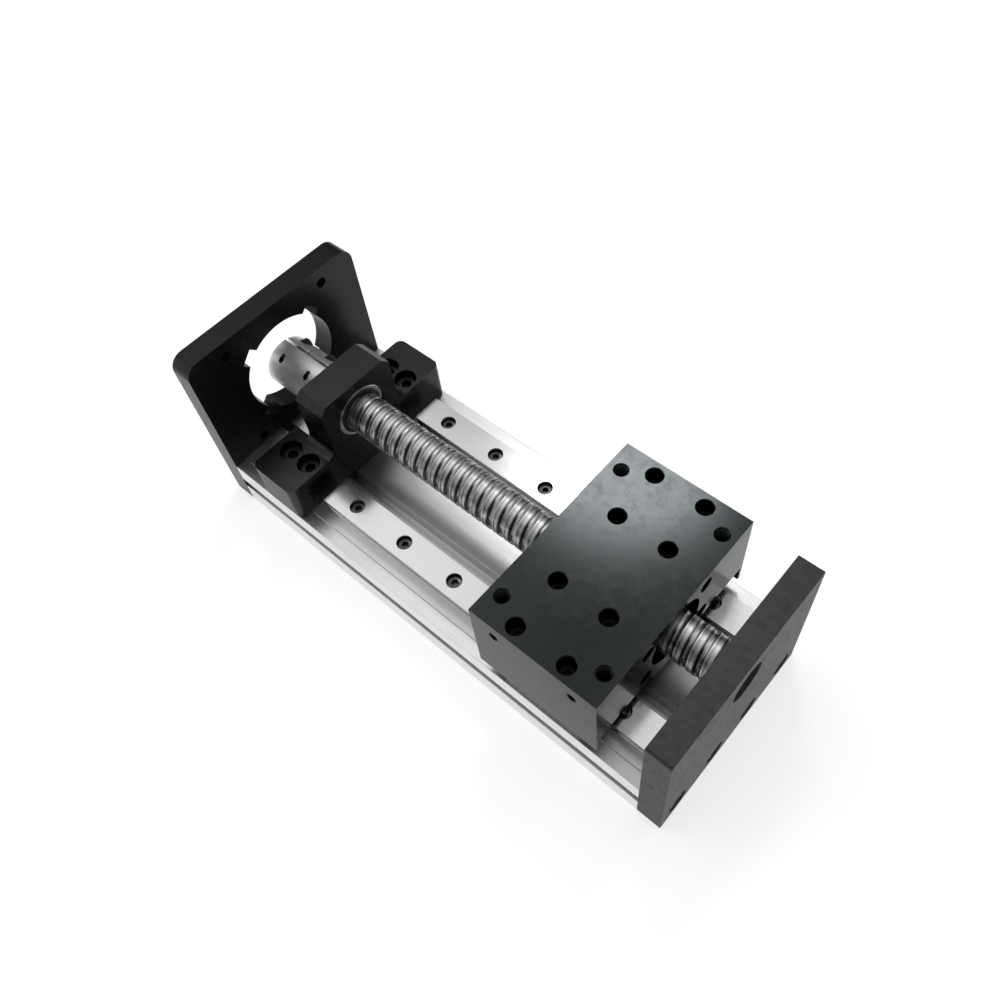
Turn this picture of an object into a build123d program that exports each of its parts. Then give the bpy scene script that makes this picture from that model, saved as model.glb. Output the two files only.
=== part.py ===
from build123d import *
import os

# Linear stage with a ball screw, two profile rails and a motor plate. All sizes are in millimetres.
# +X runs from the motor plate to the end plate, +Z is up, and the origin is the centre of the underside.

# Whole stage
overall_length = 220.0
skirt_wall = 1.2
screw_rise = 14.0

# Base extrusion
base_height = 23.0
land_drop = 0.5
rail_pad_width = 20.0
top_groove_width = 4.0
top_groove_depth = 6.0
side_groove_height = 5.0
side_groove_depth = 5.5
base_edge_radius = 0.8
base_hole_diameter = 5.0
base_hole_depth = 10.0
base_hole_spacing_x = 120.0
base_hole_spacing_y = 60.0

# Motor plate and end plate
plate_thickness = 9.5
plate_edge_chamfer = 0.5
plate_screw_inner_y = 10.0
plate_screw_edge = 9.0
plate_screw_height = 7.0
plate_screw_grip = 12.0
motor_plate_corner_radius = 6.0
motor_pilot_diameter = 40.5
motor_notch_width = 7.0
motor_notch_depth = 3.2
motor_hole_spacing = 47.14
motor_hole_diameter = 4.2
motor_hole_edge = 6.43
end_plate_corner_radius = 1.0
end_plate_wall = 2.0
end_hole_diameter = 15.0

# Fixed bearing block: a tower round the bearings and a wing to each side
block_offset = 18.0
block_length = 22.5
wing_height = 17.0
tower_lip = 1.5
tower_side_wall = 6.0
tower_top_wall = 4.5
tower_chamfer = 3.0
tower_root_radius = 4.0
wing_corner_radius = 3.0
wing_screw_spacing = 10.0
wing_screw_setback = 5.6
wing_screw_offset = 9.0
wing_screw_sink = 8.0
wing_screw_grip = 10.0

# Rails
rail_width = 12.0
rail_height = 8.0
rail_start_gap = 5.0
rail_end_gap = 0.5
rail_hole_pitch = 25.0
rail_first_hole = 12.5
race_radius = 1.25
race_depth = 0.95
race_drop = 2.8
rail_edge_chamfer = 0.4
rail_screw_sink = 4.5
rail_screw_grip = 7.0

# Rail blocks
guide_hole_spacing = 20.0
guide_side_wall = 3.5
guide_end_wall = 6.2
guide_roof = 5.0
guide_block_rise = 3.0
guide_block_chamfer = 0.8
end_cap_thickness = 5.5
end_cap_inset = 0.4
seal_thickness = 1.0
nipple_drop = 2.8
nipple_stem_diameter = 4.0
nipple_stem_length = 1.1
nipple_neck_diameter = 2.6
nipple_neck_length = 0.8
nipple_ball_diameter = 3.4

# Carriage
carriage_length = 50.0
carriage_end_gap = 17.0
carriage_rise = 15.0
skirt_gap = 5.0
rib_floor = 6.0
carriage_edge_chamfer = 0.5
top_hole_edge = 5.0
top_hole_spacing_y = 60.0
top_hole_diameter = 5.0
top_hole_depth = 12.0
side_hole_edge = 9.5
side_hole_diameter = 3.3
side_hole_depth = 6.5
side_hole_drop = 7.0
face_hole_spacing_y = 30.0
face_hole_spacing_z = 18.0
face_hole_diameter = 5.5
face_hole_depth = 8.0
hole_rim_chamfer = 0.3
carriage_screw_sink = 9.0
carriage_screw_grip = 3.4

# Ball screw, nut and bearings
screw_diameter = 16.0
journal_diameter = 10.0
journal_chamfer = 0.5
collar_step = 1.3
wiper_wall = 2.2
wiper_thickness = 2.0
nut_rim = 2.0
nut_length = 42.0
nut_side_wall = 0.9
set_screw_spacing = 24.0
bearing_diameter = 22.0
bearing_width = 6.0
bearing_count = 2
bearing_recess = 0.5
ring_wall = 1.7
shield_thickness = 0.4
idler_collar = 1.3
lock_nut_wall = 3.5
lock_nut_thickness = 4.2
lock_nut_step = 0.4
lock_nut_slot_width = 3.0
lock_nut_slot_depth = 1.6

# Clamp coupling
coupling_length = 24.5
coupling_gap = 1.0
coupling_rim = 3.1
coupling_slit = 1.2
coupling_slit_angle = 77.0
motor_shaft_diameter = 6.35
clamp_screw_spacing = 14.0
clamp_screw_wall = 0.25
clamp_screw_grip = 5.0
clamp_seat = 3.5

# Clearances
seat_clearance = 0.05
screw_clearance = 0.1
head_clearance = 0.25
running_gap = 0.3
tap_end_gap = 0.5
overshoot = 1.0

# Socket screws: head diameter, head height, shank diameter, hexagon across flats
M3 = (5.5, 3.0, 3.0, 2.5)
M5 = (8.5, 5.0, 5.0, 4.0)
screw_head_chamfer = 0.3

# Headless screws: diameter, length, hexagon across flats
M4_SET = (4.0, 4.0, 2.0)

# Shank holes
m3_hole = M3[2] + 2 * screw_clearance
m5_hole = M5[2] + 2 * screw_clearance

# Across the stage: the nut's room sets the rails apart, and the blocks and skirts set the width
wiper_diameter = screw_diameter + 2 * (running_gap + wiper_wall)
nut_diameter = wiper_diameter + 2 * nut_rim
rail_spacing = nut_diameter + 2 * nut_side_wall + m3_hole + guide_hole_spacing
rail_y = rail_spacing / 2
guide_block_width = guide_hole_spacing + 2 * guide_side_wall
stage_width = rail_spacing + guide_block_width + 2 * (running_gap + skirt_wall)
plate_screw_outer_y = stage_width / 2 - plate_screw_edge
tower_width = bearing_diameter + 2 * tower_side_wall
wing_screw_y = tower_width / 2 + wing_screw_offset

# Up the stage: base, rails, rail blocks, screw and carriage
wing_top = base_height + wing_height
rail_top = base_height + rail_height
guide_total_height = rail_height + guide_roof
guide_top = base_height + guide_total_height
screw_axis_height = guide_top + screw_rise
carriage_top_height = screw_axis_height + carriage_rise
skirt_bottom_height = base_height + skirt_gap
rib_bottom_height = screw_axis_height - nut_diameter / 2 - rib_floor
tower_top_height = screw_axis_height + bearing_diameter / 2 + tower_top_wall
motor_plate_height = screw_axis_height + motor_hole_spacing / 2 + motor_hole_edge
end_plate_height = screw_axis_height + bearing_diameter / 2 + end_plate_wall

# Along the stage
motor_face_x = -overall_length / 2
end_face_x = overall_length / 2
base_start_x = motor_face_x + plate_thickness
base_end_x = end_face_x - plate_thickness
base_length = base_end_x - base_start_x
block_start_x = base_start_x + block_offset
block_end_x = block_start_x + block_length
bearing_end_x = block_end_x - bearing_recess
bearing_start_x = bearing_end_x - bearing_count * bearing_width
tower_start_x = bearing_start_x - tower_lip
tower_thickness = block_end_x - tower_start_x
rail_start_x = block_end_x + rail_start_gap
rail_length = base_end_x - rail_end_gap - rail_start_x
rail_hole_count = int((rail_length - rail_first_hole - M3[0]) / rail_hole_pitch) + 1
guide_steel_length = guide_hole_spacing + 2 * guide_end_wall
carriage_x = base_end_x - carriage_end_gap - carriage_length / 2
top_hole_spacing_x = carriage_length - 2 * top_hole_edge
side_hole_spacing = carriage_length - 2 * side_hole_edge

# The turning pieces
collar_diameter = journal_diameter + 2 * collar_step
inner_ring_diameter = journal_diameter + 2 * ring_wall
lock_nut_diameter = journal_diameter + 2 * lock_nut_wall
lock_nut_start_x = bearing_start_x - lock_nut_thickness
coupling_end_x = lock_nut_start_x - coupling_gap
coupling_start_x = coupling_end_x - coupling_length
coupling_mid_x = coupling_end_x - coupling_length / 2
clamp_screw_radius = journal_diameter / 2 + seat_clearance + clamp_screw_wall + m3_hole / 2
coupling_diameter = 2 * (clamp_screw_radius + coupling_rim)
idler_start_x = base_end_x + bearing_recess
thread_start_x = block_end_x + running_gap
thread_end_x = idler_start_x - idler_collar

# Ways of building
BOTTOM = (Align.CENTER, Align.CENTER, Align.MIN)
SIDES = (-1, 1)
DIAGONALS = (45, 135, 225, 315)
QUARTERS = (0, 90, 180, 270)
SAME_PLACE = 0.01


def box(x_low, x_high, y_low, y_high, z_low, z_high):
    """A box between two corners."""
    size = Box(x_high - x_low, y_high - y_low, z_high - z_low)
    return Pos((x_low + x_high) / 2, (y_low + y_high) / 2, (z_low + z_high) / 2) * size


def rod_x(diameter, x_low, x_high, y=0.0, z=screw_axis_height):
    """A round bar along X, on the screw's axis unless it is told otherwise."""
    return Pos(x_low, y, z) * (Rot(0, 90, 0) * Cylinder(diameter / 2, x_high - x_low, align=BOTTOM))


def rod_z(diameter, z_low, z_high, x, y):
    """An upright round bar."""
    return Pos(x, y, z_low) * Cylinder(diameter / 2, z_high - z_low, align=BOTTOM)


def turned(points):
    """A ring or shaft turned about the screw's axis from points (x, radius)."""
    corners = [(x, screw_axis_height + r) for x, r in points]
    face = Plane.XZ * make_face(Polyline(corners + corners[:1]))
    return revolve(face, axis=Axis((0, 0, screw_axis_height), (1, 0, 0)))


def ring(x_low, x_high, inner, outer):
    """A plain ring on the screw's axis between two radii."""
    return turned([(x_low, inner), (x_low, outer), (x_high, outer), (x_high, inner)])


def along_x(sketch, x_low, length):
    """A sketch in the plane across the stage, drawn as (y, z), extruded towards +X."""
    return extrude(Plane.YZ.offset(x_low) * sketch, amount=length)


def hexagon_bar(across_flats, length):
    return extrude(RegularPolygon(across_flats / 2, 6, major_radius=False), amount=length)


def socket_screw(sizes, shank_length):
    """An upright socket head screw whose head sits on z = 0."""
    head_diameter, head_height, shank_diameter, hexagon = sizes
    head = Cylinder(head_diameter / 2, head_height, align=BOTTOM)
    head = chamfer(head.edges().group_by(Axis.Z)[-1], screw_head_chamfer)
    socket = hexagon_bar(hexagon, head_height / 2)
    shank = Pos(0, 0, -shank_length) * Cylinder(shank_diameter / 2, shank_length, align=BOTTOM)
    return head - Pos(0, 0, head_height / 2) * socket + shank


def screw_hole(sizes, sink, depth):
    """The counterbore above z = 0 and the screw's hole below it, to take away from a plate."""
    head_diameter, _, shank_diameter, _ = sizes
    counterbore = Cylinder(head_diameter / 2 + head_clearance, sink + overshoot, align=BOTTOM)
    hole = Pos(0, 0, -depth) * Cylinder(shank_diameter / 2 + screw_clearance, depth, align=BOTTOM)
    return counterbore + hole


def write(node, shape):
    """Write one node. A list holds the separate pieces that share its name."""
    pieces = shape if isinstance(shape, list) else [shape]
    solids = [solid for piece in pieces for solid in piece.solids()]
    whole = solids[0] if len(solids) == 1 else Compound(children=solids)
    export_step(whole, f"parts/{node}.step")


# Where the screws stand
def rectangle_places(spacing_x, spacing_y):
    return [(a * spacing_x / 2, b * spacing_y / 2) for a in SIDES for b in SIDES]


def wing_screw_places():
    front = block_end_x - wing_screw_setback
    return [(x, side * wing_screw_y) for x in (front - wing_screw_spacing, front) for side in SIDES]


def rail_hole_places(side):
    first = rail_start_x + rail_first_hole
    return [(first + i * rail_hole_pitch, side * rail_y) for i in range(rail_hole_count)]


def set_screw_places():
    return [carriage_x + side * set_screw_spacing / 2 for side in SIDES]


def plate_screw_places():
    return [s * y for y in (plate_screw_inner_y, plate_screw_outer_y) for s in SIDES]


def guide_hole_places(side):
    square = rectangle_places(guide_hole_spacing, guide_hole_spacing)
    return [(carriage_x + x, side * rail_y + y) for x, y in square]


# Base extrusion
def base_profile():
    """Two machined rail pads beside a centre rib, with a groove along each flank."""
    profile = Pos(0, base_height / 2) * Rectangle(stage_width, base_height)
    low = base_height - land_drop
    pad_outer = rail_y + rail_pad_width / 2
    pad_inner = rail_y - rail_pad_width / 2
    centre_rib_width = 2 * (pad_inner - top_groove_width)
    for side in SIDES:
        land = (stage_width / 2 + pad_outer) / 2
        profile -= Pos(side * land, base_height) * Rectangle(stage_width / 2 - pad_outer, 2 * land_drop)
        groove = Rectangle(top_groove_width, 2 * top_groove_depth)
        profile -= Pos(side * (pad_inner - top_groove_width / 2), base_height) * groove
        flank = Rectangle(2 * side_groove_depth, side_groove_height)
        profile -= Pos(side * stage_width / 2, base_height / 2) * flank
    profile -= Pos(0, base_height) * Rectangle(centre_rib_width, 2 * land_drop)
    outer = [v for v in profile.vertices() if abs(abs(v.X) - stage_width / 2) < SAME_PLACE]
    corners = [v for v in outer if v.Y < SAME_PLACE or v.Y > low - SAME_PLACE]
    return fillet(corners, base_edge_radius)


def base_extrusion():
    base = along_x(base_profile(), base_start_x, base_length)
    over = base_height + overshoot
    for x, y in rail_hole_places(-1) + rail_hole_places(1):
        base -= rod_z(m3_hole, base_height - rail_screw_grip - tap_end_gap, over, x, y)
    for x, y in wing_screw_places():
        base -= rod_z(m5_hole, base_height - wing_screw_grip - tap_end_gap, over, x, y)
    reach = plate_screw_grip + tap_end_gap
    for y in plate_screw_places():
        base -= rod_x(m5_hole, base_start_x - overshoot, base_start_x + reach, y, plate_screw_height)
        base -= rod_x(m5_hole, base_end_x - reach, base_end_x + overshoot, y, plate_screw_height)
    for x, y in rectangle_places(base_hole_spacing_x, base_hole_spacing_y):
        base -= rod_z(base_hole_diameter, -overshoot, base_hole_depth, x, y)
    return base


# Plates at the two ends
def plate_blank(height, x_low, corner_radius):
    outline = Pos(0, height / 2) * Rectangle(stage_width, height)
    outline = fillet(outline.vertices().group_by(Axis.Y)[-1], corner_radius)
    plate = along_x(outline, x_low, plate_thickness)
    faces = plate.faces().sort_by(Axis.X)
    return chamfer(faces[0].edges() + faces[-1].edges(), plate_edge_chamfer)


def motor_opening():
    """The pilot hole with four notches on its diagonals."""
    opening = Circle(motor_pilot_diameter / 2)
    reach = motor_pilot_diameter / 2 + motor_notch_depth
    for angle in DIAGONALS:
        opening += Rot(0, 0, angle) * (Pos(reach / 2, 0) * Rectangle(reach, motor_notch_width))
    return Pos(0, screw_axis_height) * opening


def motor_plate():
    plate = plate_blank(motor_plate_height, motor_face_x, motor_plate_corner_radius)
    x_low, x_high = motor_face_x - overshoot, base_start_x + overshoot
    plate -= along_x(motor_opening(), x_low, x_high - x_low)
    for y, z in rectangle_places(motor_hole_spacing, motor_hole_spacing):
        plate -= rod_x(motor_hole_diameter, x_low, x_high, y, screw_axis_height + z)
    return plate - plate_screw_holes(-1)


def end_plate():
    plate = plate_blank(end_plate_height, base_end_x, end_plate_corner_radius)
    seat = bearing_diameter + 2 * seat_clearance
    plate -= rod_x(seat, base_end_x - overshoot, idler_start_x + bearing_width)
    plate -= rod_x(end_hole_diameter, base_end_x, end_face_x + overshoot)
    return plate - plate_screw_holes(1)


def plate_screw_turn(end):
    """Turn an upright screw so that its head faces out of the plate at this end."""
    return Rot(0, 90 * end, 0)


def plate_screw_holes(end):
    sink = M5[1] + plate_edge_chamfer
    seat_x = end * (end_face_x - sink)
    hole = plate_screw_turn(end) * screw_hole(M5, sink, plate_thickness)
    return Part() + [Pos(seat_x, y, plate_screw_height) * hole for y in plate_screw_places()]


def plate_screws(end):
    sink = M5[1] + plate_edge_chamfer
    seat_x = end * (end_face_x - sink)
    screw = plate_screw_turn(end) * socket_screw(M5, plate_thickness - sink + plate_screw_grip)
    return [Pos(seat_x, y, plate_screw_height) * screw for y in plate_screw_places()]


# Fixed bearing block
def bearing_block():
    """Wings and tower in one piece, with a fillet where the tower leaves the wings."""
    tower_height = tower_top_height - base_height
    tower = Pos(0, base_height + tower_height / 2) * Rectangle(tower_width, tower_height)
    tower = chamfer(tower.vertices().group_by(Axis.Y)[-1], tower_chamfer)
    wings = Pos(0, base_height + wing_height / 2) * Rectangle(stage_width, wing_height)
    front = tower + wings
    at_wing_top = [v for v in front.vertices() if abs(v.Y - wing_top) < SAME_PLACE]
    roots = [v for v in at_wing_top if abs(abs(v.X) - tower_width / 2) < SAME_PLACE]
    front = fillet(roots, tower_root_radius)
    block = along_x(front, tower_start_x, tower_thickness)
    for side in SIDES:
        inner, outer = sorted((side * tower_width / 2, side * stage_width / 2))
        block += box(block_start_x, tower_start_x, inner, outer, base_height, wing_top)
    upright = block.edges().filter_by(Axis.Z)
    corners = [e for e in upright if abs(abs(e.center().Y) - stage_width / 2) < SAME_PLACE]
    block = fillet(corners, wing_corner_radius)
    block -= rod_x(bearing_diameter + 2 * seat_clearance, bearing_start_x, block_end_x + overshoot)
    block -= rod_x(lock_nut_diameter + 4 * running_gap, tower_start_x - overshoot, block_end_x)
    hole = screw_hole(M5, wing_screw_sink, wing_height)
    for x, y in wing_screw_places():
        block -= Pos(x, y, wing_top - wing_screw_sink) * hole
    return block


def block_screws():
    screw = socket_screw(M5, wing_height - wing_screw_sink + wing_screw_grip)
    return [Pos(x, y, wing_top - wing_screw_sink) * screw for x, y in wing_screw_places()]


# Rails and rail blocks
def rail_profile():
    """The rail's outline standing on y = 0 of the sketch, with a ball race in each flank."""
    profile = Pos(0, rail_height / 2) * Rectangle(rail_width, rail_height)
    profile = chamfer(profile.vertices().group_by(Axis.Y)[-1], rail_edge_chamfer)
    reach = rail_width / 2 - race_depth + race_radius
    for side in SIDES:
        profile -= Pos(side * reach, rail_height - race_drop) * Circle(race_radius)
    return profile


def rail(side):
    steel = along_x(Pos(side * rail_y, base_height) * rail_profile(), rail_start_x, rail_length)
    hole = screw_hole(M3, rail_screw_sink, rail_height)
    for x, y in rail_hole_places(side):
        steel -= Pos(x, y, rail_top - rail_screw_sink) * hole
    return steel


def rail_screws():
    screw = socket_screw(M3, rail_height - rail_screw_sink + rail_screw_grip)
    places = rail_hole_places(-1) + rail_hole_places(1)
    return [Pos(x, y, rail_top - rail_screw_sink) * screw for x, y in places]


def guide_profile(inset):
    """A rail block's outline round the rail, made smaller all round by an inset."""
    width = guide_block_width - 2 * inset
    height = guide_total_height - guide_block_rise - inset
    outline = Pos(0, guide_block_rise + height / 2) * Rectangle(width, height)
    outline = chamfer(outline.vertices(), guide_block_chamfer)
    return outline - offset(rail_profile(), running_gap, kind=Kind.INTERSECTION)


def guide_piece(side, inset, x_low, length):
    return along_x(Pos(side * rail_y, base_height) * guide_profile(inset), x_low, length)


def rail_block(side):
    block = guide_piece(side, 0.0, carriage_x - guide_steel_length / 2, guide_steel_length)
    for x, y in guide_hole_places(side):
        block -= rod_z(m3_hole, guide_top - carriage_screw_grip - tap_end_gap, guide_top + overshoot, x, y)
    return block


def end_caps(side):
    half = guide_steel_length / 2
    starts = (carriage_x - half - end_cap_thickness, carriage_x + half)
    return [guide_piece(side, end_cap_inset, x, end_cap_thickness) for x in starts]


def end_seals(side):
    reach = guide_steel_length / 2 + end_cap_thickness
    starts = (carriage_x - reach - seal_thickness, carriage_x + reach)
    return [guide_piece(side, 2 * end_cap_inset, x, seal_thickness) for x in starts]


def grease_nipples():
    """One nipple on the outer seal of each rail block, on the end plate's side."""
    face_x = carriage_x + guide_steel_length / 2 + end_cap_thickness + seal_thickness
    stem_x = face_x + nipple_stem_length
    neck_x = stem_x + nipple_neck_length
    z = guide_top - nipple_drop
    nipples = []
    for side in SIDES:
        stem = rod_x(nipple_stem_diameter, face_x, stem_x, side * rail_y, z)
        neck = rod_x(nipple_neck_diameter, stem_x, neck_x, side * rail_y, z)
        ball = Pos(neck_x, side * rail_y, z) * Sphere(nipple_ball_diameter / 2)
        nipples.append(stem + neck + ball)
    return nipples


# Carriage and nut
def carriage_plate():
    """A thick plate over the two rail blocks, with a skirt down each side and a rib round the nut."""
    half = carriage_length / 2
    x_low, x_high = carriage_x - half, carriage_x + half
    block_outer = rail_y + guide_block_width / 2 + running_gap
    block_inner = rail_y - guide_block_width / 2 - running_gap
    plate_height = carriage_top_height - guide_top
    outline = Pos(0, guide_top + plate_height / 2) * Rectangle(stage_width, plate_height)
    rib_height = guide_top - rib_bottom_height
    outline += Pos(0, guide_top - rib_height / 2) * Rectangle(2 * block_inner, rib_height)
    skirt_height = guide_top - skirt_bottom_height
    for side in SIDES:
        middle = side * (stage_width / 2 + block_outer) / 2
        skirt = Rectangle(stage_width / 2 - block_outer, skirt_height)
        outline += Pos(middle, guide_top - skirt_height / 2) * skirt
    plate = along_x(outline, x_low, carriage_length)
    plate = chamfer(plate.faces().sort_by(Axis.Z)[-1].edges(), carriage_edge_chamfer)
    plate -= rod_x(nut_diameter + 2 * seat_clearance, x_low - overshoot, x_high + overshoot)
    return plate - carriage_holes()


def hole_rim(diameter):
    """The small chamfer round a hole's mouth at z = 0."""
    wide = diameter / 2 + 2 * hole_rim_chamfer
    return Pos(0, 0, -hole_rim_chamfer) * Cone(diameter / 2, wide, 2 * hole_rim_chamfer, align=BOTTOM)


def rimmed_hole(diameter, depth):
    """A blind hole down from z = 0."""
    hole = Pos(0, 0, -depth) * Cylinder(diameter / 2, depth + overshoot, align=BOTTOM)
    return hole + hole_rim(diameter)


def carriage_holes():
    """Deep holes for the block screws, and threaded holes in the top, the near skirt and one end."""
    seat = carriage_top_height - carriage_screw_sink
    deep = screw_hole(M3, carriage_screw_sink, seat - guide_top + overshoot)
    deep += Pos(0, 0, carriage_screw_sink) * hole_rim(M3[0] + 2 * head_clearance)
    cuts = [Pos(x, y, seat) * deep for x, y in guide_hole_places(-1) + guide_hole_places(1)]
    tapped = rimmed_hole(top_hole_diameter, top_hole_depth)
    for x, y in rectangle_places(top_hole_spacing_x, top_hole_spacing_y):
        cuts.append(Pos(carriage_x + x, y, carriage_top_height) * tapped)
    flank = Rot(90, 0, 0) * rimmed_hole(side_hole_diameter, side_hole_depth)
    z = carriage_top_height - side_hole_drop
    for side in SIDES:
        cuts.append(Pos(carriage_x + side * side_hole_spacing / 2, -stage_width / 2, z) * flank)
    face = Rot(0, 90, 0) * rimmed_hole(face_hole_diameter, face_hole_depth)
    for y, rise in rectangle_places(face_hole_spacing_y, face_hole_spacing_z):
        cuts.append(Pos(carriage_x + carriage_length / 2, y, screw_axis_height + rise) * face)
    hole = M4_SET[0] + 2 * screw_clearance
    for x in set_screw_places():
        cuts.append(rod_z(hole, rib_bottom_height - overshoot, screw_axis_height, x, 0))
    return Part() + cuts


def carriage_screws():
    seat = carriage_top_height - carriage_screw_sink
    screw = socket_screw(M3, seat - guide_top + carriage_screw_grip)
    places = guide_hole_places(-1) + guide_hole_places(1)
    return [Pos(x, y, seat) * screw for x, y in places]


def ball_nut():
    """A plain round nut with a seat at each end for its wiper."""
    half = nut_length / 2
    bore = screw_diameter / 2 + running_gap
    seat = wiper_diameter / 2 + seat_clearance
    points = [(-half, seat), (-half, nut_diameter / 2), (half, nut_diameter / 2), (half, seat)]
    points += [(half - wiper_thickness, seat), (half - wiper_thickness, bore)]
    points += [(-half + wiper_thickness, bore), (-half + wiper_thickness, seat)]
    return turned([(carriage_x + x, r) for x, r in points])


def nut_wipers():
    half = nut_length / 2
    starts = (carriage_x - half, carriage_x + half - wiper_thickness)
    inner = screw_diameter / 2 + running_gap
    return [ring(x, x + wiper_thickness, inner, wiper_diameter / 2) for x in starts]


def nut_set_screws():
    """Two headless screws up through the rib that hold the nut in its bore."""
    diameter, length, hexagon = M4_SET
    tip = screw_axis_height - nut_diameter / 2 - seat_clearance
    socket = hexagon_bar(hexagon, length / 2)
    screws = []
    for x in set_screw_places():
        screws.append(rod_z(diameter, tip - length, tip, x, 0) - Pos(x, 0, tip - length) * socket)
    return screws


# Ball screw and the pieces that turn with it
def ball_screw():
    """Journal through the coupling and bearings, collar, screw, collar and idler journal."""
    journal, collar, screw = journal_diameter / 2, collar_diameter / 2, screw_diameter / 2
    start = coupling_mid_x + coupling_slit
    end = idler_start_x + bearing_width
    points = [(start, 0), (start, journal - journal_chamfer), (start + journal_chamfer, journal)]
    points += [(bearing_end_x, journal), (bearing_end_x, collar), (thread_start_x, collar)]
    points += [(thread_start_x, screw), (thread_end_x, screw), (thread_end_x, collar)]
    points += [(idler_start_x, collar), (idler_start_x, journal), (end - journal_chamfer, journal)]
    points += [(end, journal - journal_chamfer), (end, 0)]
    return turned(points)


def lock_nut():
    """A round nut with four slots in its rim, tight with a narrow shoulder against the inner ring."""
    bore = journal_diameter / 2 + seat_clearance
    rim, shoulder = lock_nut_diameter / 2, inner_ring_diameter / 2
    step_x = bearing_start_x - lock_nut_step
    points = [(lock_nut_start_x, bore), (lock_nut_start_x, rim), (step_x, rim), (step_x, shoulder)]
    nut = turned(points + [(bearing_start_x, shoulder), (bearing_start_x, bore)])
    middle = Pos((lock_nut_start_x + bearing_start_x) / 2, 0, screw_axis_height)
    slot = Box(lock_nut_thickness + overshoot, lock_nut_slot_width, lock_nut_diameter, align=BOTTOM)
    for angle in QUARTERS:
        nut -= middle * Rot(angle, 0, 0) * Pos(0, 0, rim - lock_nut_slot_depth) * slot
    return nut


def bearing_outer(x_low):
    """Outer ring with a shield at each side, hollow between them."""
    outer, inner = bearing_diameter / 2, bearing_diameter / 2 - ring_wall
    shield = inner_ring_diameter / 2 + running_gap
    x_high = x_low + bearing_width
    points = [(x_low, shield), (x_low, outer), (x_high, outer), (x_high, shield)]
    points += [(x_high - shield_thickness, shield), (x_high - shield_thickness, inner)]
    points += [(x_low + shield_thickness, inner), (x_low + shield_thickness, shield)]
    return turned(points)


def bearing_inner(x_low):
    bore = journal_diameter / 2 + seat_clearance
    return ring(x_low, x_low + bearing_width, bore, inner_ring_diameter / 2)


def fixed_bearing_places():
    return [bearing_start_x + i * bearing_width for i in range(bearing_count)]


# Clamp coupling
def clamp_place(x):
    """The frame of a clamp screw: its seat's centre, with the screw's head towards the local +Z."""
    across = Rot(coupling_slit_angle - 90, 0, 0)
    return Pos(x, 0, screw_axis_height) * across * Pos(0, clamp_seat, clamp_screw_radius) * Rot(-90, 0, 0)


def clamp_screw_places():
    return [coupling_mid_x + s * clamp_screw_spacing / 2 for s in SIDES]


def coupling():
    """A split coupling: one slit along it and one across it, so that each end clamps its own shaft."""
    body = rod_x(coupling_diameter, coupling_start_x, coupling_end_x)
    body = chamfer(body.edges().filter_by(GeomType.CIRCLE), plate_edge_chamfer)
    body -= rod_x(motor_shaft_diameter, coupling_start_x - overshoot, coupling_mid_x)
    journal_bore = journal_diameter + 2 * seat_clearance
    body -= rod_x(journal_bore, coupling_mid_x - coupling_slit / 2, coupling_end_x + overshoot)
    beyond = coupling_diameter
    along = Box(coupling_length + 2 * overshoot, coupling_slit, beyond, align=BOTTOM)
    across = Pos(0, beyond / 2, 0) * Box(coupling_slit, beyond, 2 * beyond)
    turn = Pos(coupling_mid_x, 0, screw_axis_height) * Rot(coupling_slit_angle - 90, 0, 0)
    body -= turn * along
    body -= turn * across
    cut = screw_hole(M3, coupling_diameter / 2, coupling_diameter)
    for x in clamp_screw_places():
        body -= clamp_place(x) * cut
    return body


def coupling_screws():
    screw = socket_screw(M3, clamp_seat + clamp_screw_grip)
    return [clamp_place(x) * screw for x in clamp_screw_places()]


os.makedirs("parts", exist_ok=True)
write("base_extrusion", base_extrusion())
write("motor_plate", motor_plate())
write("end_plate", end_plate())
write("motor_plate_screws", plate_screws(-1))
write("end_plate_screws", plate_screws(1))
write("bearing_block", bearing_block())
write("block_screws", block_screws())
write("rail_near", rail(-1))
write("rail_far", rail(1))
write("rail_screws", rail_screws())
write("fixed_bearing_outer_rings", [bearing_outer(x) for x in fixed_bearing_places()])
write("idler_bearing_outer_ring", bearing_outer(idler_start_x))
write("ball_screw", ball_screw())
write("lock_nut", lock_nut())
write("fixed_bearing_inner_rings", [bearing_inner(x) for x in fixed_bearing_places()])
write("idler_bearing_inner_ring", bearing_inner(idler_start_x))
write("coupling", coupling())
write("coupling_screws", coupling_screws())
write("carriage_plate", carriage_plate())
write("carriage_screws", carriage_screws())
write("ball_nut", ball_nut())
write("nut_wipers", nut_wipers())
write("nut_set_screws", nut_set_screws())
write("rail_block_near", rail_block(-1))
write("rail_block_far", rail_block(1))
write("end_caps_near", end_caps(-1))
write("end_caps_far", end_caps(1))
write("end_seals_near", end_seals(-1))
write("end_seals_far", end_seals(1))
write("grease_nipples", grease_nipples())
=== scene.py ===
# %% [markdown]
# # A linear stage with a ball screw
# The object is a short linear stage. A pale aluminium base carries two steel rails, and a black carriage
# runs on them. A ball screw between the rails moves the carriage. It turns in a black bearing block, and a
# split coupling joins it to a motor that would stand behind the tall plate. The finished CAD model comes in
# as a fixed frame, and each cell below dresses one piece of it: first the tools, then the finishes, then the
# pieces, the light and the camera.

import math

import bpy
from mathutils import Euler, Matrix, Vector


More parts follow.
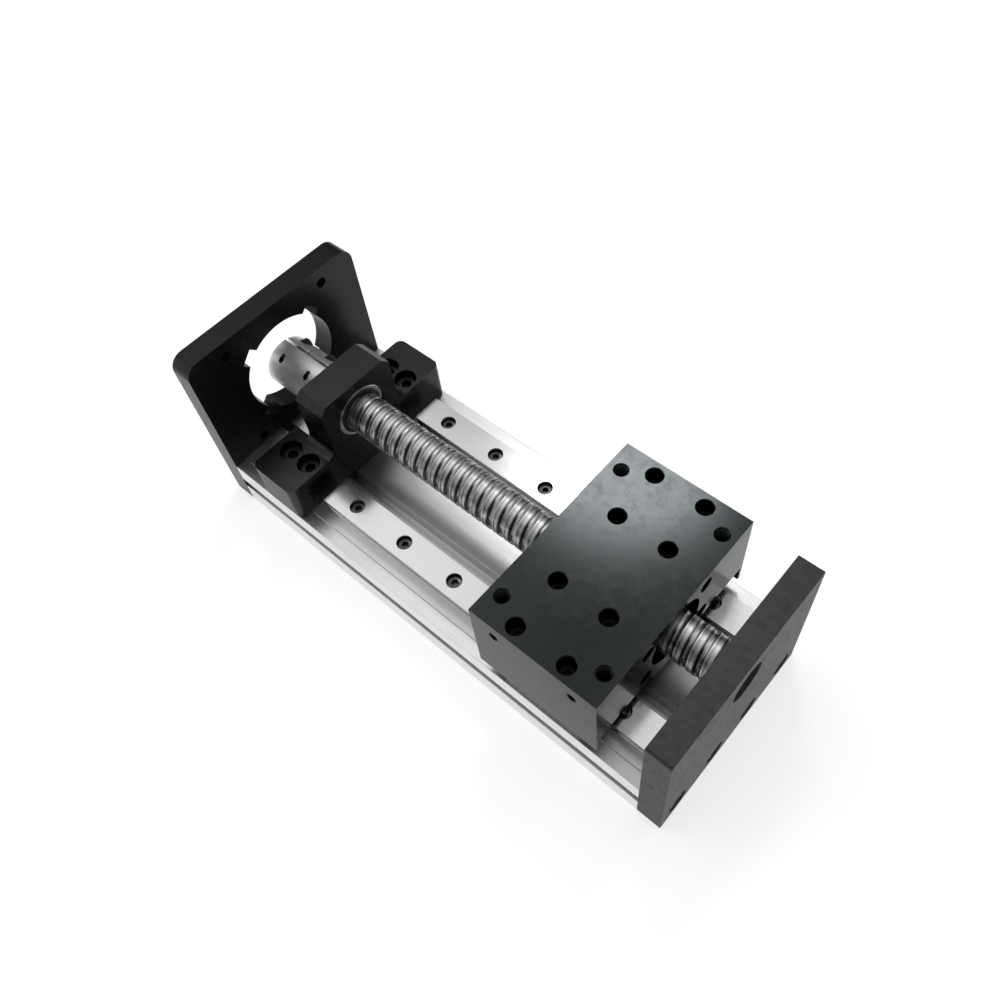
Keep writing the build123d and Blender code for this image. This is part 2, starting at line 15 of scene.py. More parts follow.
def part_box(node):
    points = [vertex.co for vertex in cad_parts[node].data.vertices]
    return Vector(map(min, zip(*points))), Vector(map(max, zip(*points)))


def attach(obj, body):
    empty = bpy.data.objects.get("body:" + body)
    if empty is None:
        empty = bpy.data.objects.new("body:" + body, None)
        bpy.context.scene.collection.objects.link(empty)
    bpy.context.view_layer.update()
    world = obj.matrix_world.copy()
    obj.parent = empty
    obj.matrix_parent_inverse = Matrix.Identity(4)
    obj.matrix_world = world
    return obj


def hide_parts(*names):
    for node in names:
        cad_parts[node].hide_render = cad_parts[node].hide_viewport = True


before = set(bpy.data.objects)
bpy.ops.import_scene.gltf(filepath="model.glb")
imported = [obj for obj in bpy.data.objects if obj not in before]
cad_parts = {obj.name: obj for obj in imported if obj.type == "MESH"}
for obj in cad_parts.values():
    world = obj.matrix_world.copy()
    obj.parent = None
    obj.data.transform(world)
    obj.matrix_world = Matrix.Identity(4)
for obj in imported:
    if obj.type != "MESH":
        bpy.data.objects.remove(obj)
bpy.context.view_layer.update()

# %% [markdown]
# ## Tools for modelling
# Blender's operators act on whatever is selected, and the CAD nodes come in selected. So every tool below
# starts by deselecting everything. A primitive is added at its real size and place, and transform_apply puts
# that place into its mesh, so that the finished object sits at the origin, unturned and unscaled.

# %% Adding primitives
MM = 0.001
TURN = {"X": (0, math.pi / 2, 0), "Y": (-math.pi / 2, 0, 0), "Z": (0, 0, 0)}
ALONG = {"X": Vector((1, 0, 0)), "Y": Vector((0, 1, 0)), "Z": Vector((0, 0, 1))}


def start_alone(piece=None):
    """Leave edit mode, deselect everything and select only this piece."""
    if bpy.context.object and bpy.context.object.mode != "OBJECT":
        bpy.ops.object.mode_set(mode="OBJECT")
    bpy.ops.object.select_all(action="DESELECT")
    if piece:
        bpy.context.view_layer.objects.active = piece
        piece.select_set(True)
    return piece


def settle(name):
    """Name the new primitive and move its place and size into its mesh."""
    piece = bpy.context.object
    piece.name = piece.data.name = name
    bpy.ops.object.transform_apply(location=True, rotation=True, scale=True)
    return piece


def add_block(name, low, high):
    start_alone()
    low, high = Vector(low), Vector(high)
    bpy.ops.mesh.primitive_cube_add(size=1, location=(low + high) / 2, scale=high - low)
    return settle(name)


def add_rod(name, start, length, radius, axis="X", sides=64, end_radius=None):
    """A round bar, or a cone when its far end has another radius, from the middle of its first end."""
    start_alone()
    middle = Vector(start) + ALONG[axis] * length / 2
    far = radius if end_radius is None else end_radius
    bpy.ops.mesh.primitive_cone_add(vertices=sides, radius1=radius, radius2=far, depth=length,
                                    location=middle, rotation=TURN[axis])
    return settle(name)


# %% [markdown]
# The machining tools follow the workshop: cut away with another shape, join what is one piece, break the
# edges. A Boolean modifier cuts, and a Bevel modifier breaks every edge that turns by more than 30 degrees.
# The weighted normals keep the large flat faces flat, so that only the broken edges catch the light.

# %% Machining
EDGE_ANGLE = 30
MERGE = 0.001 * MM


def apply_modifier(piece, kind, **settings):
    start_alone(piece)
    modifier = piece.modifiers.new(kind.title(), kind)
    for name, value in settings.items():
        setattr(modifier, name, value)
    bpy.ops.object.modifier_apply(modifier=modifier.name)


def join(pieces, name):
    """Make one object of several, each of which keeps its own closed shell."""
    start_alone(pieces[0])
    for piece in pieces:
        piece.select_set(True)
    bpy.ops.object.join()
    pieces[0].name = pieces[0].data.name = name
    return pieces[0]


def combine(piece, tools, operation):
    """Cut tools away from a piece, or weld them to it, one after the other, and delete the tools."""
    for tool in tools:
        apply_modifier(piece, "BOOLEAN", operation=operation, object=tool, solver="EXACT")
        bpy.data.objects.remove(tool)
    return piece


def cut(piece, *tools):
    return combine(piece, tools, "DIFFERENCE")


def weld(piece, *tools):
    return combine(piece, tools, "UNION")


def choose(piece, faces=None, edges=None):
    """Enter edit mode with only the faces or edges selected that a test picks by their place."""
    start_alone(piece)
    bpy.ops.object.mode_set(mode="EDIT")
    bpy.ops.mesh.select_mode(type="FACE" if faces else "EDGE")
    bpy.ops.mesh.select_all(action="DESELECT")
    bpy.ops.object.mode_set(mode="OBJECT")
    mesh = piece.data
    if faces:
        for face in mesh.polygons:
            face.select = faces(face)
    else:
        for edge in mesh.edges:
            edge.select = edges(*(mesh.vertices[i].co for i in edge.vertices))
    bpy.ops.object.mode_set(mode="EDIT")


def leave_edit(piece):
    bpy.ops.object.mode_set(mode="OBJECT")
    return piece


def round_edges(piece, radius, test, segments=6):
    """Bevel only the edges that a test picks by their two ends."""
    choose(piece, edges=test)
    bpy.ops.mesh.bevel(offset=radius, segments=segments, affect="EDGES")
    return leave_edit(piece)


def smooth(piece, angle=EDGE_ANGLE, flat=True):
    """Smooth shading up to this angle. A flat-sided piece gets weighted normals, a round one doesn't."""
    start_alone(piece)
    bpy.ops.object.shade_smooth_by_angle(angle=math.radians(angle))
    if flat:
        apply_modifier(piece, "WEIGHTED_NORMAL", weight=60, keep_sharp=True)
    return piece


def break_edges(piece, width, segments=2, flat=True):
    """Take the sharpness off every edge and smooth the piece."""
    apply_modifier(piece, "BEVEL", width=width, segments=segments, limit_method="ANGLE",
                   angle_limit=math.radians(EDGE_ANGLE), use_clamp_overlap=True, miter_outer="MITER_ARC")
    return smooth(piece, flat=flat)


def chain(name, points):
    """A chain of edges through the points: one side of a grid, with its vertices moved one by one."""
    start_alone()
    bpy.ops.mesh.primitive_grid_add(x_subdivisions=len(points) - 1, y_subdivisions=1, size=1)
    piece = settle(name)
    choose(piece, faces=lambda face: False)
    bpy.ops.mesh.select_mode(type="VERT")
    bpy.ops.object.mode_set(mode="OBJECT")
    for vertex in piece.data.vertices:
        vertex.select = vertex.co.y > 0
    bpy.ops.object.mode_set(mode="EDIT")
    bpy.ops.mesh.delete(type="VERT")
    bpy.ops.object.mode_set(mode="OBJECT")
    for vertex, point in zip(sorted(piece.data.vertices, key=lambda v: v.co.x), points):
        vertex.co = point
    return piece


def sweep(piece, axis, steps, lead=0, turns=1):
    """Sweep a chain of edges round an axis, and along it by one lead a turn."""
    apply_modifier(piece, "SCREW", axis=axis, angle=2 * math.pi, screw_offset=lead, iterations=turns,
                   steps=steps, render_steps=steps, use_merge_vertices=True, merge_threshold=MERGE,
                   use_smooth_shade=True)
    bpy.ops.object.mode_set(mode="EDIT")
    bpy.ops.mesh.select_all(action="SELECT")
    bpy.ops.mesh.remove_doubles(threshold=MERGE)
    return leave_edit(piece)


def face_outward(piece):
    start_alone(piece)
    bpy.ops.object.mode_set(mode="EDIT")
    bpy.ops.mesh.select_all(action="SELECT")
    bpy.ops.mesh.normals_make_consistent(inside=False)
    return leave_edit(piece)


def copy_to(piece, name, offset=(0, 0, 0), turn=(0, 0, 0)):
    """A copy with its own mesh, turned about the origin and then moved."""
    twin = bpy.data.objects.new(name, piece.data.copy())
    bpy.context.scene.collection.objects.link(twin)
    twin.data.transform(Matrix.Translation(Vector(offset)) @ Euler(turn).to_matrix().to_4x4())
    return twin


def coat(piece, finish_material):
    """Give a piece this material and no other."""
    piece.data.materials.clear()
    piece.data.materials.append(finish_material)


def finish(piece, body, nodes, finish_material):
    """Give a piece its material and its body, and hide the CAD nodes that it stands for."""
    coat(piece, finish_material)
    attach(piece, body)
    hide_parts(*nodes)
    print(piece.name, len(piece.data.polygons), "faces on", body)


# %% [markdown]
# ## Tools for finishes
# A finish is a small network of shader nodes. Writing its maths as Python expressions keeps it readable: a
# Signal stands for one socket, and adding or multiplying Signals adds the Math nodes. All patterns read
# Object coordinates, which are metres here, so a scale of 1000 gives features about a millimetre across.

# %% Signals and finishes
class Signal:
    """A number that varies over a surface."""

    def __init__(self, paint, socket):
        self.paint = paint
        self.socket = socket

    def math(self, operation, *values):
        return self.paint.node("ShaderNodeMath", {"operation": operation}, values or (self,))

    def __add__(self, other):
        return self.math("ADD", self, other)

    __radd__ = __add__

    def __sub__(self, other):
        return self.math("SUBTRACT", self, other)

    def __rsub__(self, other):
        return self.math("SUBTRACT", other, self)

    def __mul__(self, other):
        return self.math("MULTIPLY", self, other)

    __rmul__ = __mul__

    def __truediv__(self, other):
        return self.math("DIVIDE", self, other)

    def above(self, edge, width):
        """0 below the edge and 1 above it, with a soft step of this width."""
        step = {"interpolation_type": "SMOOTHSTEP", "clamp": True}
        return self.paint.node("ShaderNodeMapRange", step, (self, edge - width / 2, edge + width / 2, 0, 1))

    def near(self, middle, reach, width):
        """1 up to this reach from the middle and 0 beyond it, with a soft step of this width."""
        return 1 - (self - middle).math("ABSOLUTE").above(reach, width)


class Paint:
    """One material: its Principled shader and the nodes that feed it."""

    def __init__(self, name, **constants):
        self.material = bpy.data.materials.new(name)
        self.material.use_nodes = True
        self.tree = self.material.node_tree
        self.shader = self.tree.nodes["Principled BSDF"]
        for socket, value in constants.items():
            self.shader.inputs[socket.replace("_", " ")].default_value = value
        print("finish", name)

    def node(self, kind, settings=None, values=(), output=0):
        """Add a node, set its settings first, then its sockets in order or by name. Return one output."""
        node = self.tree.nodes.new(kind)
        for name, value in (settings or {}).items():
            setattr(node, name, value)
        pairs = values.items() if isinstance(values, dict) else enumerate(values)
        for key, value in pairs:
            if isinstance(value, Signal):
                self.tree.links.new(value.socket, node.inputs[key])
            else:
                node.inputs[key].default_value = value
        return Signal(self, node.outputs[output])

    def place(self, stretch=(1, 1, 1), centre=(0, 0, 0)):
        """Object coordinates, moved to a centre and stretched."""
        coordinates = self.node("ShaderNodeTexCoord", output="Object")
        moved = self.node("ShaderNodeVectorMath", {"operation": "SUBTRACT"}, (coordinates, centre))
        return self.node("ShaderNodeMapping", {"vector_type": "POINT"}, {"Vector": moved, "Scale": stretch})

    def noise(self, scale, detail=3, rough=0.55, stretch=(1, 1, 1), vector=None):
        """Soft random blobs. Each is about one metre divided by the scale across."""
        values = {"Vector": vector or self.place(stretch), "Scale": scale}
        return self.node("ShaderNodeTexNoise", {}, {**values, "Detail": detail, "Roughness": rough})

    def mix(self, factor, first, second):
        """Mix two colours. The Mix node takes them at sockets 6 and 7 and gives the mixture at output 2."""
        settings = {"data_type": "RGBA", "clamp_factor": True}
        sockets = {0: factor, 6: (*first, 1), 7: (*second, 1)}
        return self.node("ShaderNodeMix", settings, sockets, output=2)

    def feed(self, **signals):
        for socket, signal in signals.items():
            self.tree.links.new(signal.socket, self.shader.inputs[socket.replace("_", " ")])

    def bump(self, height, depth, strength):
        """Raise the surface by the height times a depth in metres."""
        return self.node("ShaderNodeBump", {}, {"Strength": strength, "Distance": depth, "Height": height})


# %% [markdown]
# ## Finishes
# The plates, the block and the carriage are black anodised aluminium. Light goes into the dyed film and
# comes back from the metal under it, so it shines like a very dark metal. Its edge tint keeps the sides that
# are seen at a low angle dark too. Noise at three scales moves the shine and the gloss a little, as handling
# marks do, and a fine bump breaks up the reflections.

# %% Black anodised aluminium
def scaled(colour, share):
    """The same colour, darker or lighter by this share."""
    return tuple(share * part for part in colour)


def black_anodised(name, shine, roughness, marks, metallic=1.0, edge=0.7):
    paint = Paint(name, Metallic=metallic, Specular_Tint=(edge, edge, edge, 1))
    clouds = paint.noise(80, detail=6, rough=0.65)
    blotches = paint.noise(330, detail=6, rough=0.65).above(0.56, 0.22) * marks
    grain = paint.noise(5200, detail=2)
    specks = paint.noise(1500, detail=2).above(0.70, 0.06) * marks
    wear = clouds * 0.4 + blotches * 0.5 + specks * 0.6
    paint.feed(Base_Color=paint.mix(wear, shine, scaled(shine, 0.72)))
    paint.feed(Roughness=roughness + clouds * 0.06 + blotches * 0.08 + grain * 0.04)
    paint.feed(Normal=paint.bump(grain, depth=0.008 * MM, strength=0.3))
    return paint.material


carriage_black = black_anodised("carriage_black", (0.042, 0.0455, 0.0465), roughness=0.11, marks=0.45)
motor_plate_black = black_anodised("motor_plate_black", (0.027, 0.027, 0.028), roughness=0.22, marks=0.3,
                                   metallic=0.75)
end_plate_black = black_anodised("end_plate_black", (0.070, 0.070, 0.072), roughness=0.34, marks=0.9,
                                 metallic=0.5, edge=0.35)
block_black = black_anodised("block_black", (0.046, 0.047, 0.049), roughness=0.22, marks=0.4)

# %% [markdown]
# The base is bare aluminium with the long, soft lines of drawing and fly cutting. Stretching a noise far
# along X turns its blobs into such lines. They vary the roughness and a shallow bump, so that the highlights
# streak the way they do on a real profile.

# %% Bare aluminium and steel
def drawn_metal(name, colour, roughness, line_scale, depth, shade=0.25):
    paint = Paint(name, Metallic=1.0)
    lines = paint.noise(line_scale, detail=5, rough=0.6, stretch=(0.02, 1, 1))
    cloud = paint.noise(45)
    specks = paint.noise(1100).above(0.70, 0.05)
    paint.feed(Base_Color=paint.mix(lines * 0.6 + cloud * 0.4 + specks, colour, scaled(colour, 1 - shade)))
    paint.feed(Roughness=roughness + lines * 0.14 + cloud * 0.08 + specks * 0.1 - 0.1)
    paint.feed(Normal=paint.bump(lines, depth, strength=0.5))
    return paint.material


base_aluminium = drawn_metal("base_aluminium", (0.86, 0.86, 0.85), roughness=0.34, line_scale=1600,
                             depth=0.01 * MM)
# The thread in the tapped holes gets a very dark colour: painted shade for the inside of the holes.
tapped_metal_painted_dark = drawn_metal("tapped_metal_painted_dark", (0.05, 0.055, 0.055), roughness=0.45, line_scale=1600,
                           depth=0.01 * MM)
rail_steel = drawn_metal("rail_steel", (0.76, 0.76, 0.75), roughness=0.17, line_scale=3200,
                         depth=0.004 * MM, shade=0.12)
block_steel = drawn_metal("block_steel", (0.62, 0.62, 0.62), roughness=0.28, line_scale=2600,
                          depth=0.005 * MM, shade=0.2)


# %% [markdown]
# Turned pieces carry rings instead of lines. Their noise is stretched round the screw's axis: it reads only
# the place along X and the distance from the axis, so each ring keeps one value all the way round.

# %% Turned metal
axis_height = 50 * MM


def axis_distance(paint, place):
    """The distance from the screw's axis, for a place that is measured from a point on it."""
    across = paint.node("ShaderNodeVectorMath", {"operation": "MULTIPLY"}, (place, (0, 1, 1)))
    return paint.node("ShaderNodeVectorMath", {"operation": "LENGTH"}, (across,), output="Value")


def turned_metal(name, colour, roughness, ring_scale, depth, metallic=1.0):
    paint = Paint(name, Metallic=metallic)
    place = paint.place(centre=(0, 0, axis_height))
    along = paint.node("ShaderNodeSeparateXYZ", {}, (place,))
    rings = paint.node("ShaderNodeCombineXYZ", {}, (along, axis_distance(paint, place)))
    lines = paint.noise(ring_scale, detail=4, rough=0.6, vector=rings)
    cloud = paint.noise(160, detail=4)
    paint.feed(Base_Color=paint.mix(lines * 0.6 + cloud * 0.4, colour, scaled(colour, 0.8)))
    paint.feed(Roughness=roughness + lines * 0.12 + cloud * 0.08 - 0.08)
    paint.feed(Normal=paint.bump(lines, depth, strength=0.5))
    return paint


coupling_aluminium = turned_metal("coupling_aluminium", (0.93, 0.93, 0.92), roughness=0.34,
                                  ring_scale=5000, depth=0.005 * MM, metallic=0.8).material
bearing_steel = turned_metal("bearing_steel", (0.60, 0.60, 0.60), roughness=0.20,
                             ring_scale=6000, depth=0.003 * MM).material


# %% [markdown]
# The screw is rolled, hardened and polished along its thread, so its fine lines follow the helix. The place
# along X less the share of a turn gives one number that stays the same all along the thread. Folding it into
# one pitch tells how far a point is across from the middle of the groove. Three light and dark bands in each
# pitch are painted reflection, standing in for the bands that the polished groove mirrors. The plain ends
# have a smaller radius and get none of the thread's lines, bands or painted shade.

# %% Along the thread
lead, thread_start = 5 * MM, -59.7 * MM
groove_phase, painted_bands_per_pitch, plain_radius = 0.75, 3, 6.8 * MM
paint = turned_metal("screw_steel", (0.70, 0.70, 0.70), roughness=0.24, ring_scale=7000, depth=0.002 * MM)
place = paint.place(centre=(thread_start, 0, axis_height))
along, y, z = (paint.node("ShaderNodeSeparateXYZ", {}, (place,), output=i) for i in range(3))
turn_share = z.math("ARCTAN2", z, y) / (2 * math.pi)
across = ((along / lead - turn_share + groove_phase).math("FRACT") - 0.5) * lead
helix = paint.node("ShaderNodeCombineXYZ", {}, (across,))
helix_lines = paint.noise(1900, rough=0.5, vector=helix).above(0.5, 0.2)
# Painted reflection: three light and dark bands in each pitch.
painted_bands = (across * (painted_bands_per_pitch * 2 * math.pi / lead)).math("SINE") * 0.5 + 0.5
threaded = axis_distance(paint, place).above(plain_radius, 0.2 * MM)

# %% [markdown]
# Thin dark lines on the bottom of the groove and on both its edges are painted shade. On the near side, a
# painted dark line follows one wall of the groove and widens to a dark spot at its lower end. Patchy painted
# shade darkens the far side and the middle of the near side.

# %% Painted shade on the thread
groove_edge, groove_wall, shade_spot_height = 1.17 * MM, -0.75 * MM, 1.6 * MM
# The dark colour of the thread's polish lines and of all its painted shade.
bright_steel, dark_lines_and_shade = (0.90, 0.90, 0.89), (0.04, 0.04, 0.038)
# Painted shade: thin dark lines at the bottom and at both edges of the groove.
bottom_shade_line = across.near(0, 0.18 * MM, 0.16 * MM)
edge_shade_line = across.math("ABSOLUTE").near(groove_edge, 0.12 * MM, 0.12 * MM)
film = bottom_shade_line + edge_shade_line
smear = paint.noise(900, detail=4)
patches = paint.noise(420, detail=4).above(0.5, 0.25)
towards_near = z * 0.4 - y
near_side = towards_near.above(5 * MM, 3 * MM)
# Painted shade: a dark line along one wall of the groove on the near side, with a dark spot at its lower
# end.
painted_wall_shade = near_side * z.above(0.6 * MM, 1.5 * MM) * across.near(groove_wall, 0.38 * MM, 0.3 * MM)
painted_shade_spots = (near_side * z.near(shade_spot_height, 1.3 * MM, 1.2 * MM)
         * across.near(groove_wall, 0.75 * MM, 0.5 * MM))
# Painted shade: patchy darkening of the far side and of the middle of the near side.
far_painted_shade = y.above(3.5 * MM, 3 * MM) * (patches * 0.5 + 0.25)
near_painted_shade = towards_near.above(6.5 * MM, 3 * MM) * (patches * 0.25 + 0.18)
lines = film * 0.25 + helix_lines * 0.25 + painted_bands * 0.3
shade = threaded * (lines + painted_wall_shade * 0.8 + painted_shade_spots * 0.8 + far_painted_shade + near_painted_shade) + smear * 0.15
paint.feed(Base_Color=paint.mix(shade, bright_steel, dark_lines_and_shade))
paint.feed(Roughness=0.34 + film * 0.08 + smear * 0.1)
screw_steel = paint.material
print(len(paint.tree.nodes), "nodes in the screw's finish")


# %% [markdown]
# The small parts are black too, but none is like another: black oxide on the screws is a thin satin film
# over steel, the end caps are moulded plastic with a faint spark-eroded grain, and the seals are matt
# rubber.

# %% Screws, plastic and rubber
def small_part_black(name, colour, roughness, metallic=0.0, grain_scale=4000, depth=0.006 * MM):
    paint = Paint(name, Metallic=metallic)
    grain = paint.noise(grain_scale)
    cloud = paint.noise(400)
    paint.feed(Base_Color=paint.mix(cloud, colour, scaled(colour, 2.5)))
    paint.feed(Roughness=roughness + grain * 0.15)
    paint.feed(Normal=paint.bump(grain, depth, strength=0.4))
    return paint.material


rail_oxide = small_part_black("rail_oxide", (0.05, 0.05, 0.052), roughness=0.22, metallic=1.0)
black_oxide = small_part_black("black_oxide", (0.022, 0.022, 0.024), roughness=0.28, metallic=0.8)
# Screws deep in the carriage's bores get a darker, duller black: painted shade for the bottom of the bores.
painted_shade_black = small_part_black("painted_shade_black", (0.006, 0.006, 0.007), roughness=0.50, metallic=0.2)
cap_plastic = small_part_black("cap_plastic", (0.012, 0.012, 0.012), roughness=0.35,
                               grain_scale=3500, depth=0.01 * MM)
seal_rubber = small_part_black("seal_rubber", (0.010, 0.010, 0.010), roughness=0.55,
                               grain_scale=2500, depth=0.01 * MM)
print(len(bpy.data.materials), "materials")


# %% [markdown]
# ## The base
# The base is one length of milled aluminium. Two wide pads carry the rails, the strips beside them are
# milled a little lower, two deep grooves run along the top, and a groove runs along each flank. It starts as
# a block, and long cutters take the strips and grooves away, as the milling machine does.

# %% Base
CORNERS = ((-1, -1), (-1, 1), (1, -1), (1, 1))


def mirrored(low, high):
    """A box on the near side and its twin on the far side."""
    return [(low, high), ((low[0], -high[1], low[2]), (high[0], -low[1], high[2]))]


def blocks(boxes):
    return [add_block("cutter", low, high) for low, high in boxes]


base_low, base_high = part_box("base_extrusion")
over = 1 * MM
land_drop = 0.5 * MM
pad_outer, pad_inner, rib_edge = 35 * MM, 15 * MM, 11 * MM
groove_floor = base_high.z - 6 * MM
flank_low, flank_high, flank_depth = 9 * MM, 14 * MM, 5.5 * MM
foot_x, foot_y, foot_depth, foot_radius = 60 * MM, 30 * MM, 10 * MM, 2.5 * MM
x_low, x_high = base_low.x - over, base_high.x + over
top = base_high.z + over
half_width = base_high.y

cuts = mirrored((x_low, pad_outer, base_high.z - land_drop), (x_high, half_width + over, top))
cuts += mirrored((x_low, rib_edge, groove_floor), (x_high, pad_inner, top))
cuts += mirrored((x_low, half_width - flank_depth, flank_low), (x_high, half_width + over, flank_high))
cuts.append(((x_low, -rib_edge, base_high.z - land_drop), (x_high, rib_edge, top)))
base = cut(add_block("base", base_low, base_high), *blocks(cuts))
foot_holes = [add_rod("hole", (foot_x * a, foot_y * b, -over), foot_depth + over, foot_radius, "Z", sides=48)
              for a, b in CORNERS]
base = cut(base, *foot_holes)
break_edges(base, width=0.35 * MM)
finish(base, "frame", ["base_extrusion"], base_aluminium)

# %% [markdown]
# ## The rails
# A profile rail is ground from one bar of hardened steel. A round race runs along each flank for the balls,
# and a counterbored hole for a small socket screw comes every 25 mm. Two long round cutters make the races,
# then a wide and a narrow upright one make each hole. The far rail is a copy of the near one.

# %% Rails
rail_low, rail_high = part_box("rail_near")
rail_middle = (rail_low.y + rail_high.y) / 2
race_radius, race_depth, race_drop = 1.25 * MM, 0.95 * MM, 2.8 * MM
race_reach = rail_high.y - rail_middle - race_depth + race_radius
hole_pitch, first_hole, hole_count = 25 * MM, 12.5 * MM, 6
bore_radius, bore_depth, shank_radius, shank_depth = 3.0 * MM, 4.5 * MM, 1.6 * MM, 8 * MM
rail_holes = [rail_low.x + first_hole + i * hole_pitch for i in range(hole_count)]
length = rail_high.x - rail_low.x


def race_rods(middle, start, length, radius, sides):
    """Two long rods that follow the races of a rail."""
    return [add_rod("race", (start, middle + side * race_reach, rail_high.z - race_drop), length, radius,
                    sides=sides) for side in (-1, 1)]


races = race_rods(rail_middle, rail_low.x - over, length + 2 * over, race_radius, sides=40)
rail = cut(add_block("rail_near_ground", rail_low, rail_high), *races)
for x in rail_holes:
    bore = add_rod("bore", (x, rail_middle, rail_high.z - bore_depth), bore_depth + over, bore_radius, "Z",
                   sides=56)
    shank = add_rod("shank", (x, rail_middle, rail_low.z - over), shank_depth, shank_radius, "Z", sides=40)
    rail = cut(rail, bore)
    rail = cut(rail, shank)
break_edges(rail, width=0.22 * MM)
far_rail = copy_to(rail, "rail_far_ground", (0, -2 * rail_middle, 0))
finish(rail, "frame", ["rail_near"], rail_steel)
finish(far_rail, "frame", ["rail_far"], rail_steel)


# %% [markdown]
# ## The two plates
# Both plates are milled from flat bar and stand on their lower edges. Only their upper corners are rounded:
# those are edges that run along X, so a test on height and width finds them. Each plate is held by four
# socket screws that sink into counterbores near its foot.

# %% Plate blanks and screw holes
plate_screw_ys = (-31 * MM, -10 * MM, 10 * MM, 31 * MM)
plate_screw_z, plate_screw_sink = 7 * MM, 5.5 * MM
m5_bore, m5_shank = 4.5 * MM, 2.6 * MM


def plate_blank(node, corner_radius):
    low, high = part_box(node)
    plate = add_block(node + "_milled", low, high)
    near = 0.01 * MM
    return round_edges(plate, corner_radius, lambda a, b: abs(a.y) > high.y - near and abs(a.y - b.y) < near
                       and min(a.z, b.z) > high.z - near, segments=10)


def sink_plate_screws(plate, end):
    """Counterbores from the outer face and clearance holes through the plate. End is -1 or 1."""
    low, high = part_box("motor_plate" if end < 0 else "end_plate")
    face = low.x - over if end < 0 else high.x - plate_screw_sink
    through = low.x - over
    bores = [add_rod("bore", (face, y, plate_screw_z), plate_screw_sink + over, m5_bore)
             for y in plate_screw_ys]
    plate = cut(plate, *bores)
    shanks = [add_rod("shank", (through, y, plate_screw_z), high.x - low.x + 2 * over, m5_shank, sides=40)
              for y in plate_screw_ys]
    return cut(plate, *shanks)


# %% [markdown]
# The motor plate has a round pilot hole for the motor's collar, with four notches on its diagonals, and four
# threaded holes for the motor's flange. A rod cuts the pilot hole, and each of two crossed bars cuts a pair
# of opposite notches.

# %% Motor plate
motor_low, motor_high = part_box("motor_plate")
pilot_radius, notch_width, notch_depth = 20.25 * MM, 7 * MM, 3.2 * MM
flange_reach, flange_radius = 23.57 * MM, 2.1 * MM
motor_plate = plate_blank("motor_plate", corner_radius=6 * MM)
start, depth = motor_low.x - over, motor_high.x - motor_low.x + 2 * over
motor_plate = cut(motor_plate, add_rod("pilot", (start, 0, axis_height), depth, pilot_radius, sides=160))
reach = pilot_radius + notch_depth
for angle in (45, 135):
    bar = add_block("bar", (start, -reach, -notch_width / 2), (start + depth, reach, notch_width / 2))
    notch = copy_to(bar, "notch", (0, 0, axis_height), (math.radians(angle), 0, 0))
    bpy.data.objects.remove(bar)
    motor_plate = cut(motor_plate, notch)
flange_holes = [add_rod("hole", (start, flange_reach * a, axis_height + flange_reach * b), depth,
                        flange_radius, sides=48) for a, b in CORNERS]
motor_plate = sink_plate_screws(cut(motor_plate, *flange_holes), end=-1)
break_edges(motor_plate, width=0.4 * MM)
finish(motor_plate, "frame", ["motor_plate"], motor_plate_black)

# %% [markdown]
# The end plate is lower and plainer. A round hole on the screw's axis opens into the seat of the idler
# bearing.

# %% End plate
end_low, end_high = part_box("end_plate")
end_hole_radius, seat_radius, idler_seat_depth = 7.5 * MM, 11.05 * MM, 6.5 * MM
end_plate = plate_blank("end_plate", corner_radius=1 * MM)
start, depth = end_low.x - over, end_high.x - end_low.x + 2 * over
end_plate = cut(end_plate, add_rod("hole", (start, 0, axis_height), depth, end_hole_radius, sides=96))
idler_seat = add_rod("seat", (start, 0, axis_height), idler_seat_depth + over, seat_radius, sides=96)
end_plate = sink_plate_screws(cut(end_plate, idler_seat), end=1)
break_edges(end_plate, width=0.4 * MM)
finish(end_plate, "frame", ["end_plate"], end_plate_black)

# %% [markdown]
# ## The bearing block
# The block is one piece: a tower round the two bearings and a low wing to each side. A slab welded to a
# tower gives its front. The two inner corners are filled with a round fillet and the tower's shoulders are
# chamfered while the shape is still that simple, and then the rear halves of the wings are welded on.

# %% Bearing block
block_low, block_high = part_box("bearing_block")
tower_back, tower_half, wing_top = -74 * MM, 17 * MM, 40 * MM
fillet, shoulder, wing_corner = 4 * MM, 3 * MM, 3 * MM
near = 0.05 * MM


def at_tower_side(z):
    """A test for the edges that run along the tower's two sides at this height."""
    return lambda a, b: max(abs(abs(a.y) - tower_half), abs(a.y - b.y), abs(a.z - z), abs(b.z - z)) < near


tower = add_block("bearing_block_milled", (tower_back, -tower_half, block_low.z),
                  (block_high.x, tower_half, block_high.z))
slab = add_block("slab", (tower_back, block_low.y, block_low.z), (block_high.x, block_high.y, wing_top))
block = weld(tower, slab)
round_edges(block, fillet, at_tower_side(wing_top), segments=8)
round_edges(block, shoulder, at_tower_side(block_high.z), segments=1)
rear = mirrored((block_low.x, tower_half, block_low.z), (tower_back + over, block_high.y, wing_top))
block = weld(block, *blocks(rear))
round_edges(block, wing_corner, lambda a, b: abs(abs(a.y) - block_high.y) < near and (a - b).xy.length < near
            and min(abs(a.x - block_low.x), abs(a.x - block_high.x)) < near, segments=8)
print(len(block.data.polygons), "faces before the bores")

# %% [markdown]
# The boring bar comes next: a stepped hole for the bearings and the lock nut through the tower, and four
# stepped holes down through the wings for the screws.

